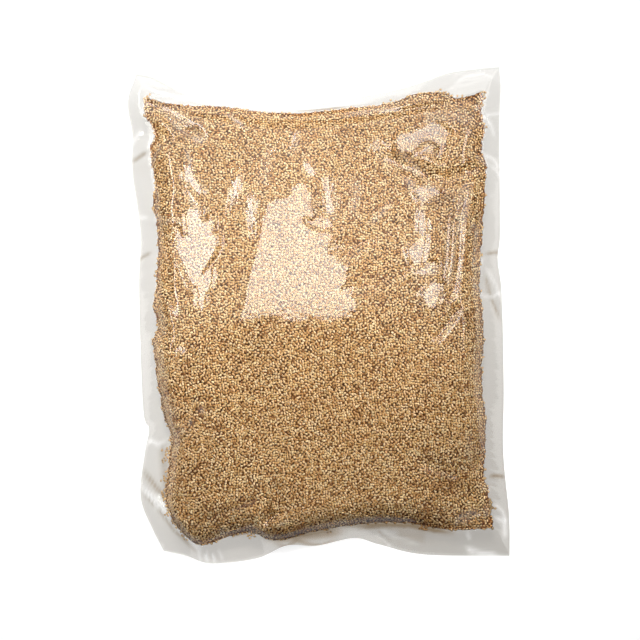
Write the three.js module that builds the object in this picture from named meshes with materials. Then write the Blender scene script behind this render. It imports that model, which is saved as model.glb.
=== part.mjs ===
// A clear vacuum pouch packed full of sesame seeds, lying on its back.
// Two sheets of film are heat-sealed all round: the air is drawn out, so the film grips the seeds, and the
// sealed margin stands out round the filling as a thin wavy flange. The pouch and its filling are one solid.
// Millimetres, +Z up. The origin is on the table, under the middle of the whole pouch, and its top end is +Y.

import * as THREE from "three";

// ---- driving dimensions ----

// The edge of the film of a 300 x 400 pouch. The filling draws the ends in, and the corners stay out.
const FILM = {
  topLeft: [-147, 193],
  topRight: [149, 199],
  bottomRight: [154, -197],
  bottomLeft: [-122, -193],
  top: [[-134, 190], [-101, 174], [-72, 169], [-42, 167], [-9, 167], [17, 172], [61, 180], [89, 188], [110, 195]],
  bottom: [[-104, -197], [-84, -203], [-48, -199], [-24, -189], [0, -189], [30, -183], [50, -188], [86, -196]],
  left: [[-131, -176], [-141, -150], [-138, -114], [-135, -96], [-140, -78], [-144, 17], [-143, 62], [-150, 112],
    [-150, 142], [-154, 170]],
  right: [[154, -165], [150, -114], [151, -60], [150, 12], [147, 42], [149, 62], [149, 110], [149, 155], [150, 182]],
};

// The edge of the seeds inside it, where the upper sheet meets the lower one.
const FILL = {
  topLeft: [-139, 173],
  topRight: [135, 178],
  bottomRight: [140, -175],
  bottomLeft: [-111, -174],
  top: [[-116, 167], [-74, 165], [-45, 161], [-12, 160], [24, 164], [60, 168], [77, 175], [102, 177], [115, 172]],
  bottom: [[-94, -188], [-71, -182], [-53, -178], [-38, -184], [-22, -183], [0, -177], [42, -171], [74, -171],
    [104, -176]],
  left: [[-120, -154], [-118, -126], [-117, -101], [-124, -78], [-131, -30], [-128, -14], [-131, 4], [-129, 22],
    [-128, 60], [-132, 84], [-131, 104], [-135, 130], [-131, 144], [-140, 160]],
  right: [[136, -146], [133, -132], [135, -94], [132, -58], [134, -18], [131, 18], [132, 42], [136, 96], [137, 116],
    [134, 130], [136, 148], [134, 160]],
};

// The front leans a little towards both ends from a broad, rounded ridge. Its level panel lies across the upper
// lean, and round the panel the front falls away.
const PANEL = [[-14, 101], [-39, 80], [-46, 46], [-60, -12], [-38, -8], [-10, -12], [30, -4], [20, 25], [4, 47],
  [-6, 70]];
const RIDGE_HEIGHT = 40.4; // where the two leans would meet; rounded off, the panel's foot is 36 above the table
const RIDGE_AT = -60;
const RIDGE_ROUND = 45;
const UPPER_LEAN = 0.07; // towards the top end
const LOWER_LEAN = 0.05; // towards the bottom end
const FALL_LEAN = 0.09; // how steeply the front starts to fall away from the panel
const FALL_REACH = 100;

const HALF_WIDTH = 135;
const HALF_LENGTH = 172;
const SHOULDER = 18; // width of the shoulder between the seam and the front
const SHOULDER_CREASE = 0.2; // how softly the front turns down into the shoulder, as a share of its width
const SHOULDER_PLANE = 0.6; // how much of the shoulder is a plane; the rest rounds down to the seam
const HEEL = 24; // width of the rounded edge under the seam, down to the flat back
const HEEL_POWER = 1.75;

const SEAM_HEIGHT = 15; // where the two sheets meet beside the seeds
const SEAM_RISE = 0.5; // the top end's seam is this much above it, the bottom end's this much below
const SEAL_THICKNESS = 1.2; // the flange, thicker than its two sheets so that it is a solid
const RIM_HEIGHT = { topLeft: 13, topRight: 12, bottomRight: 2, bottomLeft: 5 }; // the flange's corners
const RIM_SAG = 5; // the rim between two corners hangs this much lower
const RIM_LOWEST = 0.8;
const RIPPLE_HEIGHT = 0.5; // wrinkles across the flange
const RIPPLE_LENGTHS = [71, 43];
const GRAIN_RELIEF = 0.35; // unevenness of the packed seeds

// Folds that the shrunken film presses into the seeds: depth is negative for a groove, positive for a ridge.
const FOLDS = [
  { path: [[-104, 161], [-48, 155], [-10, 153], [20, 155], [66, 161], [114, 168]], depth: -2.2, width: 3.5 },
  { path: [[-34, -136], [-29, -162], [-45, -173]], depth: -4.5, width: 4 },
  { path: [[-95, -169], [-72, -161], [-50, -151], [-43, -139]], depth: -2, width: 4.5 },
  { path: [[140, 118], [105, 103], [54, 122]], depth: -2.5, width: 7 },
  { path: [[116, 99], [110, 67], [105, 21], [103, 6]], depth: 1.5, width: 3 },
  { path: [[128, 107], [126, 94], [120, 65], [117, 35]], depth: 1.5, width: 3 },
  { path: [[113, 0], [94, -27]], depth: -1.6, width: 4 },
  { path: [[-140, 172], [-118, 156], [-92, 138]], depth: -3, width: 5 },
  { path: [[-126, 160], [-113, 152], [-100, 146]], depth: 1.6, width: 3 },
  { path: [[-118, -114], [-106, -88]], depth: -3, width: 4 },
  { path: [[127, -106], [129, -121], [134, -133]], depth: -2.5, width: 4 },
  { path: [[78, -122], [96, -128], [118, -134]], depth: -1.8, width: 5 },
];
const HOLLOW = { at: [124, -154], radius: 44, depth: 7.5 }; // the slack bottom right corner
const FLANGE_CREASE = { path: [[-144, -138], [-120, -161], [-92, -192]], depth: 1.8, width: 3 }; // a turned corner

// Grid lines: graded close together beside the seam, then even.
const FLANGE_STEPS = 3;
const EDGE_LINES = [0, 1.2, 3.5, 7, 11.5, 15, 18, 24];
const EVEN_COLUMNS = 30;
const EVEN_ROWS = 41;

// ---- small helpers ----

const lerp = THREE.MathUtils.lerp;
const clamp = THREE.MathUtils.clamp;

// The distance of a point from a bent line, and how far along it the nearest point lies, from 0 to 1.
function alongPath(x, y, path) {
  let best = { distance: Infinity, along: 0 };
  for (let i = 0; i + 1 < path.length; i++) {
    const [ax, ay] = path[i];
    const dx = path[i + 1][0] - ax;
    const dy = path[i + 1][1] - ay;
    const t = clamp(((x - ax) * dx + (y - ay) * dy) / (dx * dx + dy * dy), 0, 1);
    const distance = Math.hypot(x - ax - t * dx, y - ay - t * dy);
    if (distance < best.distance) best = { distance, along: (i + t) / (path.length - 1) };
  }
  return best;
}

// The distance of a point outside a closed outline, and 0 for a point within it.
function distanceOutside(x, y, corners) {
  let within = false;
  corners.forEach(([ax, ay], n) => {
    const [bx, by] = corners[(n + 1) % corners.length];
    if (ay > y !== by > y && x < ax + ((y - ay) * (bx - ax)) / (by - ay)) within = !within;
  });
  return within ? 0 : alongPath(x, y, [...corners, corners[0]]).distance;
}

// A fold's height: a soft ridge or groove that fades at both ends.
function foldHeight(x, y, { path, depth, width }) {
  const { distance, along } = alongPath(x, y, path);
  const fade = Math.min(1, 5 * along + 0.2, 5 * (1 - along) + 0.2);
  return depth * fade * Math.exp(-((distance / width) ** 2));
}

// Repeatable unevenness between -1 and 1.
function uneven(i, j) {
  const s = Math.sin(i * 12.9898 + j * 78.233) * 43758.5453;
  return 2 * (s - Math.floor(s)) - 1;
}

// ---- the plan: where each grid point lies seen from above ----

// One side of an outline as a smooth curve, sampled by its share of the length.
function side(from, between, to) {
  const curve = new THREE.SplineCurve([from, ...between, to].map(([x, y]) => new THREE.Vector2(x, y)));
  curve.arcLengthDivisions = 400;
  return (share) => curve.getPointAt(clamp(share, 0, 1));
}

function outline({ topLeft, topRight, bottomRight, bottomLeft, top, bottom, left, right }) {
  return {
    top: side(topLeft, top, topRight),
    bottom: side(bottomLeft, bottom, bottomRight),
    left: side(bottomLeft, left, topLeft),
    right: side(bottomRight, right, topRight),
  };
}

// A patch spanned by four sides: u runs left to right, v bottom to top.
function patchPoint({ top, bottom, left, right }, u, v) {
  const point = (side0, side1, t) => side0.clone().lerp(side1, t);
  const across = point(left(v), right(v), u);
  const upward = point(bottom(u), top(u), v);
  const corners = point(point(bottom(0), bottom(1), u), point(top(0), top(1), u), v);
  return across.add(upward).sub(corners);
}

// Shares of a length for the graded lines at both ends and the even ones between.
function gradedShares(length, evenCells) {
  const last = EDGE_LINES.at(-1);
  const even = Array.from({ length: evenCells - 1 }, (_, k) => lerp(last, length - last, (k + 1) / evenCells));
  const far = EDGE_LINES.map((d) => length - d).reverse();
  return [...EDGE_LINES, ...even, ...far].map((d) => d / length);
}

const film = outline(FILM);
const fill = outline(FILL);
const columns = gradedShares(2 * HALF_WIDTH, EVEN_COLUMNS);
const rows = gradedShares(2 * HALF_LENGTH, EVEN_ROWS);
const COLUMN_COUNT = columns.length + 2 * FLANGE_STEPS;
const ROW_COUNT = rows.length + 2 * FLANGE_STEPS;

// How far a grid line is out on the flange: 0 on the seeds, 1 at the film's edge.
function outOnFlange(line, count) {
  const inside = Math.min(line, count - 1 - line);
  return Math.max(0, 1 - inside / FLANGE_STEPS);
}

// The share that a grid line has along the seeds' outline: lines on the flange keep the nearest one.
function fillShare(line, shares) {
  return shares[clamp(line - FLANGE_STEPS, 0, shares.length - 1)];
}

function planPoint(i, j) {
  const u = fillShare(i, columns);
  const v = fillShare(j, rows);
  const outX = outOnFlange(i, COLUMN_COUNT);
  const outY = outOnFlange(j, ROW_COUNT);
  const seeds = patchPoint(fill, u, v);
  // Seen along the film's edge, the flange at a corner fans out past the seeds' own corner.
  const fan = 0.035;
  const edgeU = clamp(lerp(fan, 1 - fan, u) + (u < 0.5 ? -1 : 1) * fan * outX, 0, 1);
  const edgeV = clamp(lerp(fan, 1 - fan, v) + (v < 0.5 ? -1 : 1) * fan * outY, 0, 1);
  const edge = patchPoint(film, outX ? (u < 0.5 ? 0 : 1) : edgeU, outY ? (v < 0.5 ? 0 : 1) : edgeV);
  if (outX && outY) {
    // The corner: between the seeds' corner, the two places where the fans start, and the film's corner.
    const alongX = patchPoint(film, u < 0.5 ? 0 : 1, edgeInset(v, fan));
    const alongY = patchPoint(film, edgeInset(u, fan), v < 0.5 ? 0 : 1);
    const nearSide = seeds.clone().lerp(alongX, outX);
    const farSide = alongY.clone().lerp(edge, outX);
    return nearSide.lerp(farSide, outY);
  }
  return seeds.lerp(edge, Math.max(outX, outY));
}

function edgeInset(share, fan) {
  return share < 0.5 ? fan : 1 - fan;
}

// ---- the heights ----

// The shoulder from the seam, at 0, to the front, at 1: it turns down quickly at the top and rounds at the seam.
function shoulder(t) {
  const down = 1 - clamp(t, 0, 1);
  const full = Math.hypot(1, SHOULDER_CREASE) - SHOULDER_CREASE;
  const plane = (Math.hypot(down, SHOULDER_CREASE) - SHOULDER_CREASE) / full;
  return 1 - SHOULDER_PLANE * plane - (1 - SHOULDER_PLANE) * down ** 4;
}

// The rounded heel from the seam, at 0, to the flat back, at 1.
function heel(t) {
  return (1 - (1 - clamp(t, 0, 1)) ** HEEL_POWER) ** (1 / HEEL_POWER);
}

// The product of an edge's profile over the four sides, so that the corners are lower than the sides.
function risen(u, v, profile, width) {
  const x = 2 * HALF_WIDTH;
  const y = 2 * HALF_LENGTH;
  const distances = [u * x, (1 - u) * x, v * y, (1 - v) * y];
  return distances.reduce((rise, d) => rise * profile(d / width), 1);
}

function seamHeight(y) {
  return SEAM_HEIGHT + (SEAM_RISE * y) / HALF_LENGTH;
}

// The two leans, and the front falling away round the panel.
function levelHeight(x, y) {
  const fromRidge = y - RIDGE_AT;
  const above = (fromRidge + Math.hypot(fromRidge, RIDGE_ROUND)) / 2;
  const away = Math.hypot(distanceOutside(x, y, PANEL), 1) - 1;
  const leaning = RIDGE_HEIGHT - UPPER_LEAN * above - LOWER_LEAN * (above - fromRidge);
  return leaning - FALL_LEAN * FALL_REACH * (1 - Math.exp(-away / FALL_REACH));
}

function topHeight(x, y, u, v, i, j) {
  const folds = FOLDS.reduce((sum, fold) => sum + foldHeight(x, y, fold), 0);
  const slack = Math.hypot(x - HOLLOW.at[0], y - HOLLOW.at[1]) / HOLLOW.radius;
  const hollow = -HOLLOW.depth * Math.exp(-slack * slack);
  const seam = seamHeight(y) + SEAL_THICKNESS / 2;
  const height = levelHeight(x, y) + folds + hollow + GRAIN_RELIEF * uneven(i, j);
  return seam + risen(u, v, shoulder, SHOULDER) * (height - seam);
}

function bottomHeight(y, u, v) {
  return (seamHeight(y) - SEAL_THICKNESS / 2) * (1 - risen(u, v, heel, HEEL));
}

// The middle of the flange: it leaves the seam level and sinks towards the rim, with wrinkles across it.
function flangeHeight(x, y, u, v, out) {
  const corner = lerp(
    lerp(RIM_HEIGHT.bottomLeft, RIM_HEIGHT.bottomRight, u),
    lerp(RIM_HEIGHT.topLeft, RIM_HEIGHT.topRight, u),
    v,
  );
  const fromCorner = Math.min(1, 4 * Math.max(Math.min(u, 1 - u), Math.min(v, 1 - v)));
  const rim = Math.max(RIM_LOWEST, corner - RIM_SAG * fromCorner);
  const round = x * 0.8 + y;
  const ripple = RIPPLE_LENGTHS.reduce((sum, length) => sum + Math.sin((2 * Math.PI * round) / length), 0);
  const wrinkle = RIPPLE_HEIGHT * ripple * out * (1.3 - out) * 1.2;
  const height = lerp(seamHeight(y), rim, out ** 1.4) + wrinkle + foldHeight(x, y, FLANGE_CREASE);
  return Math.max(RIM_LOWEST, height);
}

// ---- the closed solid: an upper and a lower sheet over one plan, joined round the rim ----

const positions = [];
const triangles = [];

function sheets() {
  const upper = [];
  const lower = [];
  for (let j = 0; j < ROW_COUNT; j++) {
    for (let i = 0; i < COLUMN_COUNT; i++) {
      const { x, y } = planPoint(i, j);
      const u = fillShare(i, columns);
      const v = fillShare(j, rows);
      const out = Math.max(outOnFlange(i, COLUMN_COUNT), outOnFlange(j, ROW_COUNT));
      const middle = flangeHeight(x, y, u, v, out);
      const top = out > 0 ? middle + SEAL_THICKNESS / 2 : topHeight(x, y, u, v, i, j);
      const bottom = out > 0 ? middle - SEAL_THICKNESS / 2 : bottomHeight(y, u, v);
      upper.push(positions.push(x, y, top) / 3 - 1);
      lower.push(positions.push(x, y, bottom) / 3 - 1);
    }
  }
  return { upper, lower };
}

function quad(a, b, c, d) {
  triangles.push(a, b, c, a, c, d);
}

const { upper, lower } = sheets();
const at = (i, j) => j * COLUMN_COUNT + i;

// The level back, well inside the heel, is one flat face.
const backFrom = FLANGE_STEPS + EDGE_LINES.length - 1;
const onBack = (i, j) =>
  i >= backFrom && i < COLUMN_COUNT - 1 - backFrom && j >= backFrom && j < ROW_COUNT - 1 - backFrom;

for (let j = 0; j + 1 < ROW_COUNT; j++) {
  for (let i = 0; i + 1 < COLUMN_COUNT; i++) {
    const ring = [at(i, j), at(i + 1, j), at(i + 1, j + 1), at(i, j + 1)];
    quad(...ring.map((k) => upper[k]));
    if (!onBack(i, j)) quad(...ring.map((k) => lower[k]).reverse());
  }
}

// Every grid place round a rectangle of grid lines, in turn, seen from above counterclockwise.
function ringOf(first, lastColumn, lastRow) {
  const ring = [];
  for (let i = first; i < lastColumn; i++) ring.push(at(i, first));
  for (let j = first; j < lastRow; j++) ring.push(at(lastColumn, j));
  for (let i = lastColumn; i > first; i--) ring.push(at(i, lastRow));
  for (let j = lastRow; j > first; j--) ring.push(at(first, j));
  return ring;
}

const rim = ringOf(0, COLUMN_COUNT - 1, ROW_COUNT - 1);
rim.forEach((k, n) => {
  const next = rim[(n + 1) % rim.length];
  quad(lower[k], lower[next], upper[next], upper[k]);
});

const back = ringOf(backFrom, COLUMN_COUNT - 1 - backFrom, ROW_COUNT - 1 - backFrom).map((k) => lower[k]);
const backOutline = back.map((k) => new THREE.Vector2(positions[3 * k], positions[3 * k + 1]));
for (const [a, b, c] of THREE.ShapeUtils.triangulateShape(backOutline, [])) {
  triangles.push(back[a], back[c], back[b]);
}

const geometry = new THREE.BufferGeometry();
geometry.setAttribute("position", new THREE.Float32BufferAttribute(positions, 3));
geometry.setIndex(triangles);
geometry.computeBoundingBox();
const middle = geometry.boundingBox.getCenter(new THREE.Vector3());
geometry.translate(-middle.x, -middle.y, -geometry.boundingBox.min.z);
geometry.computeVertexNormals();

const seedsInFilm = new THREE.MeshStandardMaterial({ color: 0xbf9768, roughness: 0.35, metalness: 0 });
const pouch = new THREE.Mesh(geometry, seedsInFilm);
pouch.name = "seed_pouch";

const group = new THREE.Group();
group.name = "vacuum_pouch_of_sesame_seeds";
group.add(pouch);

export default group;
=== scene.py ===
import math

import bpy
import numpy as np
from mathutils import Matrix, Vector


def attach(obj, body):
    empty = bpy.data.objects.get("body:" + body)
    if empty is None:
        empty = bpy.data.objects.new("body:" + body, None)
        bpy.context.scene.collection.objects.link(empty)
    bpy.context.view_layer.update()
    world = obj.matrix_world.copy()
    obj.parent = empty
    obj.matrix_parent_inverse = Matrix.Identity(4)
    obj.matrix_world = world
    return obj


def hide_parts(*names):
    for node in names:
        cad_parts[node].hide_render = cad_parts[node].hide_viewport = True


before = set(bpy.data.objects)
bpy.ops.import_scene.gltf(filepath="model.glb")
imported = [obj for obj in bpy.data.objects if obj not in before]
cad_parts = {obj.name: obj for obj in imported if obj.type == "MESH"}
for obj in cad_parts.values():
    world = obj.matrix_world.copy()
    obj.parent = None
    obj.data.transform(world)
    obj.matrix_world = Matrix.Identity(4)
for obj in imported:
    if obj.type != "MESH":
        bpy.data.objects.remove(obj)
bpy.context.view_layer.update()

MM = 0.001

# ---- The table, the lamps and the view ----
# The pouch lies on a plain white table, seen from almost straight above, a little from its bottom end. A soft
# lamp beyond its top end lights it, a window and two strips overhead are mirrored in its film as veils, and
# the table glows a little, so that it stays white round the pouch.
PHOTO_WIDTH = 0.512  # what the photograph's 640 pixels span on the table, in metres
LENS = 100.0
SENSOR = 36.0
CAMERA_ELEVATION = math.radians(84)
CAMERA_DISTANCE = PHOTO_WIDTH * LENS / SENSOR
LOOKED_AT = Vector((0.0025, -0.0075, 0.020))

camera = bpy.data.objects.new("camera", bpy.data.cameras.new("camera"))
camera.data.lens = LENS
camera.data.sensor_width = SENSOR
backward = Vector((0, -math.cos(CAMERA_ELEVATION), math.sin(CAMERA_ELEVATION)))
camera.location = LOOKED_AT + CAMERA_DISTANCE * backward
camera.rotation_euler = backward.to_track_quat("Z", "Y").to_euler()
bpy.context.collection.objects.link(camera)
bpy.context.scene.camera = camera


def soft_lamp(name, place, aim, width, length, brightness):
    """A rectangular lamp at place, facing aim, its length running away from the pouch."""
    data = bpy.data.lights.new(name, "AREA")
    data.shape = "RECTANGLE"
    data.size = width
    data.size_y = length
    data.energy = brightness * math.pi * width * length
    lamp = bpy.data.objects.new(name, data)
    lamp.location = place
    lamp.rotation_euler = (Vector(place) - Vector(aim)).to_track_quat("Z", "Y").to_euler()
    bpy.context.collection.objects.link(lamp)
    return lamp


soft_lamp("window", (-0.03, 0.42, 1.33), (0, 0.42, 0), width=0.30, length=0.42, brightness=5.6)
soft_lamp("left_strip", (-0.57, 0.42, 1.33), (-0.57, 0.42, 0), width=0.20, length=0.50, brightness=7.6)
soft_lamp("right_strip", (0.57, 0.42, 1.33), (0.57, 0.42, 0), width=0.20, length=0.50, brightness=4.4)
key_lamp = soft_lamp("key_lamp", (-0.06, 0.63, 0.90), (-0.02, 0.035, 0), width=0.40, length=0.40,
                     brightness=2.35)
key_lamp.data.spread = math.radians(32)
key_lamp.visible_glossy = False


def add_node(tree, kind, inputs=None, **settings):
    """A node with its settings, each input given a value or linked to another node's output."""
    made = tree.nodes.new(kind)
    for name, value in settings.items():
        setattr(made, name, value)
    for socket, value in (inputs or {}).items():
        if isinstance(value, bpy.types.NodeSocket):
            tree.links.new(value, made.inputs[socket])
        else:
            made.inputs[socket].default_value = value
    return made


def arithmetic(tree, operation, *values, **settings):
    """The output of a Math node on numbers and other nodes' outputs."""
    made = add_node(tree, "ShaderNodeMath", dict(enumerate(values)), operation=operation, **settings)
    return made.outputs[0]


world = bpy.data.worlds.new("studio")
world.use_nodes = True
tree = world.node_tree
upward = add_node(tree, "ShaderNodeSeparateXYZ", {
    "Vector": add_node(tree, "ShaderNodeTexCoord").outputs["Generated"],
})
overhead = add_node(tree, "ShaderNodeMapRange", {
    "Value": upward.outputs["Z"], "From Min": 0.60, "From Max": 0.78,
})
to_top = add_node(tree, "ShaderNodeMapRange", {
    "Value": upward.outputs["Y"], "From Min": -0.1, "From Max": 0.55,
})
veil = arithmetic(tree, "MULTIPLY_ADD", arithmetic(tree, "POWER", to_top.outputs["Result"], 2.2), 1.6, 0.05)
to_bottom = add_node(tree, "ShaderNodeMapRange", {
    "Value": upward.outputs["Y"], "From Min": -0.12, "From Max": -0.35, "To Max": 0.1,
})
ceiling = arithmetic(tree, "ADD", veil, to_bottom.outputs["Result"])
walls = add_node(tree, "ShaderNodeMapRange", {
    "Value": upward.outputs["Y"], "From Min": -0.5, "From Max": 0.5, "To Min": 0.04, "To Max": 0.27,
})
glow = add_node(tree, "ShaderNodeMix", {
    "Factor": overhead.outputs["Result"], "A": walls.outputs["Result"], "B": ceiling,
})
tree.links.new(glow.outputs[0], tree.nodes["Background"].inputs["Strength"])
tree.nodes["Background"].inputs["Color"].default_value = (1, 1, 1, 1)
bpy.context.scene.world = world
bpy.context.scene.view_settings.view_transform = "Standard"


def new_material(name):
    """An empty material, its node tree and its output node."""
    material = bpy.data.materials.new(name)
    material.use_nodes = True
    tree = material.node_tree
    tree.nodes.clear()
    return material, tree, add_node(tree, "ShaderNodeOutputMaterial")


def srgb(red, green, blue):
    """A colour as a paint card gives it, 0 to 255, for a shader's socket."""
    linear = [((c / 255 + 0.055) / 1.055) ** 2.4 if c > 10 else c / 3294 for c in (red, green, blue)]
    return (*linear, 1.0)


def mesh_object(name, vertices_mm, faces, material=None):
    """A mesh object at the origin from corners in millimetres."""
    mesh = bpy.data.meshes.new(name)
    mesh.from_pydata((np.asarray(vertices_mm) * MM).tolist(), [], [list(f) for f in faces])
    mesh.update()
    mesh.shade_smooth()
    if material:
        mesh.materials.append(material)
    made = bpy.data.objects.new(name, mesh)
    bpy.context.collection.objects.link(made)
    return made


TABLE_SIDE = 6000

table_top, tree, output = new_material("white_table")
weave = add_node(tree, "ShaderNodeTexNoise", {"Scale": 3.0, "Detail": 2.0})
paper = add_node(tree, "ShaderNodeMix", {"Factor": weave.outputs["Fac"], "A": srgb(150, 150, 149),
                                         "B": srgb(154, 154, 154)}, data_type="RGBA")
tree.links.new(add_node(tree, "ShaderNodeBsdfPrincipled", {
    "Base Color": paper.outputs["Result"], "Roughness": 0.9, "Specular IOR Level": 0.1,
    "Emission Color": (1, 1, 1, 1), "Emission Strength": 0.8,
}).outputs["BSDF"], output.inputs["Surface"])
h = TABLE_SIDE / 2
table = mesh_object("table", [(-h, -h, 0), (h, -h, 0), (h, h, 0), (-h, h, 0)], [(0, 1, 2, 3)], table_top)


# ---- The filling: sesame seeds pressed into a brick ----
# A kilo and a half of toasted seeds fills the pouch from seam to seam. Drawing out the air presses them into
# one cushion, level on its back and gently crowned in front, with the film's folds printed into it.
# In millimetres, as the pouch is seen: corners go clockwise from the top left, sides to the right or upwards.
FILM = {
    "corners": [(-147, 193), (149, 199), (154, -197), (-122, -193)],
    "top": [(-134, 190), (-101, 174), (-72, 169), (-42, 167), (-9, 167), (17, 172), (61, 180), (89, 188),
            (110, 195)],
    "bottom": [(-104, -197), (-84, -203), (-48, -199), (-24, -189), (0, -189), (30, -183), (50, -188),
               (86, -196)],
    "left": [(-131, -176), (-141, -150), (-138, -114), (-135, -96), (-140, -78), (-144, 17), (-143, 62),
             (-150, 112), (-150, 142), (-154, 170)],
    "right": [(154, -165), (150, -114), (151, -60), (150, 12), (147, 42), (149, 62), (149, 110), (149, 155),
              (150, 182)],
}
FILL = {
    "corners": [(-139, 173), (135, 178), (140, -175), (-111, -174)],
    "top": [(-116, 167), (-74, 165), (-45, 161), (-12, 160), (24, 164), (60, 168), (77, 175), (102, 177),
            (115, 172)],
    "bottom": [(-94, -188), (-71, -182), (-53, -178), (-38, -184), (-22, -183), (0, -177), (42, -171),
               (74, -171), (104, -176)],
    "left": [(-120, -154), (-118, -126), (-117, -101), (-124, -78), (-131, -30), (-128, -14), (-131, 4),
             (-129, 22), (-128, 60), (-132, 84), (-131, 104), (-135, 130), (-131, 144), (-140, 160)],
    "right": [(136, -146), (133, -132), (135, -94), (132, -58), (134, -18), (131, 18), (132, 42), (136, 96),
              (137, 116), (134, 130), (136, 148), (134, 160)],
}
RIDGE_HEIGHT = 40.4  # where the front's two leans would meet; the panel's foot is 36 above the table
RIDGE_AT = -60
RIDGE_ROUND = 45
UPPER_LEAN = 0.07  # towards the top end
LOWER_LEAN = 0.05  # towards the bottom end
HALF_WIDTH = 135
HALF_LENGTH = 172
SHOULDER = 18
HEEL = 24
SHOULDER_CREASE = 0.2  # how softly the level part turns down into the shoulder, as a share of it
SHOULDER_PLANE = 0.6  # how much of the shoulder is a plane; the rest rounds down to the seam
HEEL_POWER = 1.75
SEAM_HEIGHT = 15
SEAM_RISE = 0.5
LOBE_HEIGHT = 0.35
LOBE_LENGTHS = (4.7, 7.9, 13.1, 29.0)
LOBE_REACH = 4.0
# The front's largest level panel, tree-shaped. Round it the front falls away a little.
PANEL = [
    (-14, 101), (-18, 96), (-19, 91), (-25, 87), (-34, 86), (-38, 83), (-39, 75), (-42, 69), (-44, 56),
    (-46, 46), (-48, 38), (-50, 31), (-52, 22), (-54, 15), (-55, 7), (-57, -3), (-60, -12), (-56, -13),
    (-47, -10), (-38, -8), (-31, -8), (-27, -11), (-20, -13), (-12, -13), (-7, -11), (-5, -8), (-1, -10),
    (3, -12), (11, -13), (19, -10), (26, -9), (24, -4), (30, -4), (30, 2), (26, 7), (19, 9), (17, 14),
    (23, 22), (20, 25), (23, 30), (15, 34), (13, 39), (7, 41), (2, 47), (6, 49), (11, 56), (7, 59), (1, 59),
    (-5, 62), (-11, 68), (-5, 74), (-7, 89), (-10, 99),
]
FALL_LEAN = 0.09
FALL_REACH = 100
FACETS = [  # smaller flat places in the film: outline, slope to the right and slope towards the top end
    ([(-9, 70), (-3, 65), (7, 63), (12, 65), (8, 74), (6, 68), (-2, 67)], (0.001, -0.059)),
    ([(-102, 118), (-107, 105), (-105, 99), (-95, 93), (-92, 93), (-94, 99), (-99, 106)], (0.138, -0.022)),
    ([(-105, 99), (-103, 91), (-98, 85), (-96, 75), (-94, 75), (-94, 82), (-97, 86), (-101, 92)],
     (0.138, -0.033)),
    ([(-104, 74), (-100, 79), (-94, 78), (-94, 72), (-89, 67), (-87, 69), (-85, 74), (-83, 69), (-84, 60),
      (-79, 57), (-79, 49), (-82, 42), (-88, 33), (-95, 18), (-100, 18), (-105, 30), (-110, 41), (-114, 51),
      (-112, 65), (-106, 55), (-103, 57)], (0.139, -0.055)),
    ([(-84, 29), (-83, 25), (-85, 15), (-89, 11), (-91, -3), (-94, 2), (-93, 11), (-95, 14), (-88, 28)],
     (0.142, -0.083)),
    ([(66, 141), (78, 143), (86, 147), (92, 151), (104, 148), (108, 143), (105, 135), (103, 127),
      (100, 121), (97, 124), (99, 132), (91, 137), (81, 135), (79, 126), (78, 117), (82, 113), (92, 107),
      (83, 107), (74, 112), (70, 118), (65, 127), (63, 134)], (-0.150, -0.002)),
    ([(80, 120), (83, 127), (89, 131), (95, 130), (89, 129), (84, 124)], (-0.149, -0.004)),
    ([(44, 135), (49, 138), (53, 130), (50, 126), (44, 129)], (-0.177, 0.001)),
    ([(79, 94), (83, 98), (92, 96), (100, 93), (92, 89), (85, 83)], (-0.147, -0.028)),
    ([(83, 79), (81, 65), (82, 61), (86, 58), (89, 63), (88, 70)], (-0.149, -0.047)),
    ([(86, 57), (73, 47), (74, 40), (78, 33), (83, 35), (85, 44), (87, 55)], (-0.151, -0.062)),
    ([(73, 25), (79, 29), (94, 36), (96, 33), (88, 28)], (-0.147, -0.072)),
    ([(84, 9), (90, 17), (99, 19), (100, 13), (94, 2), (88, -1)], (-0.141, -0.087)),
    ([(-64, 110), (-62, 102), (-65, 90), (-70, 75), (-68, 90), (-66, 102)], (0.161, -0.026)),
    ([(-53, 91), (-50, 89), (-50, 74), (-51, 55), (-53, 68), (-55, 80)], (0.170, -0.039)),
    ([(-17, 145), (-16, 142), (-19, 132), (-21, 125), (-21, 132), (-19, 140)], (-0.015, -0.011)),
    ([(-11, 118), (-6, 117), (-2, 108), (-4, 104), (-8, 109)], (-0.006, -0.028)),
    ([(6, 106), (11, 108), (11, 90), (11, 74), (7, 74), (6, 90)], (0.005, -0.043)),
]
FOLDS = [  # the bent line of each fold, its depth (negative for a groove) and its width
    ([(-104, 161), (-48, 155), (-10, 153), (20, 155), (66, 161), (114, 168)], -2.0, 3.0),
    ([(-34, -136), (-29, -162), (-45, -173)], -4.5, 3.5),
    ([(-95, -169), (-72, -161), (-50, -151), (-43, -139)], -1.2, 4.0),
    ([(140, 118), (105, 103), (54, 122)], -2.5, 7),
    ([(116, 99), (114, 85), (110, 67), (108, 37), (105, 21), (103, 6)], 1.5, 2.2),
    ([(115, 57), (114, 40), (111, 21), (108, 10), (104, 4)], -1.2, 2.0),
    ([(128, 107), (126, 94), (120, 65), (117, 35)], 1.5, 2.2),
    ([(123, 67), (128, 65), (124, 52)], 1.2, 1.6),
    ([(113, 0), (94, -27)], -1.6, 3.0),
    ([(-140, 172), (-118, 156), (-92, 138)], -3, 5),
    ([(-126, 160), (-113, 152), (-100, 146)], 1.6, 2.5),
    ([(-75, 160), (-64, 153), (-59, 146)], 1.0, 1.8),
    ([(-127, 58), (-127, 38), (-126, 6)], 1.2, 1.8),
    ([(-124, 54), (-120, 22), (-114, -6)], -1.2, 3.0),
    ([(-106, -33), (-108, -50), (-111, -70)], 1.0, 3.0),
    ([(-118, -114), (-106, -88)], -3, 4),
    ([(127, -106), (129, -121), (134, -133)], -2.5, 3.5),
    ([(113, -165), (121, -168), (127, -163), (136, -163)], -1.6, 2.2),
    ([(78, -122), (96, -128), (118, -134)], -1.8, 5.0),
]
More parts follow.
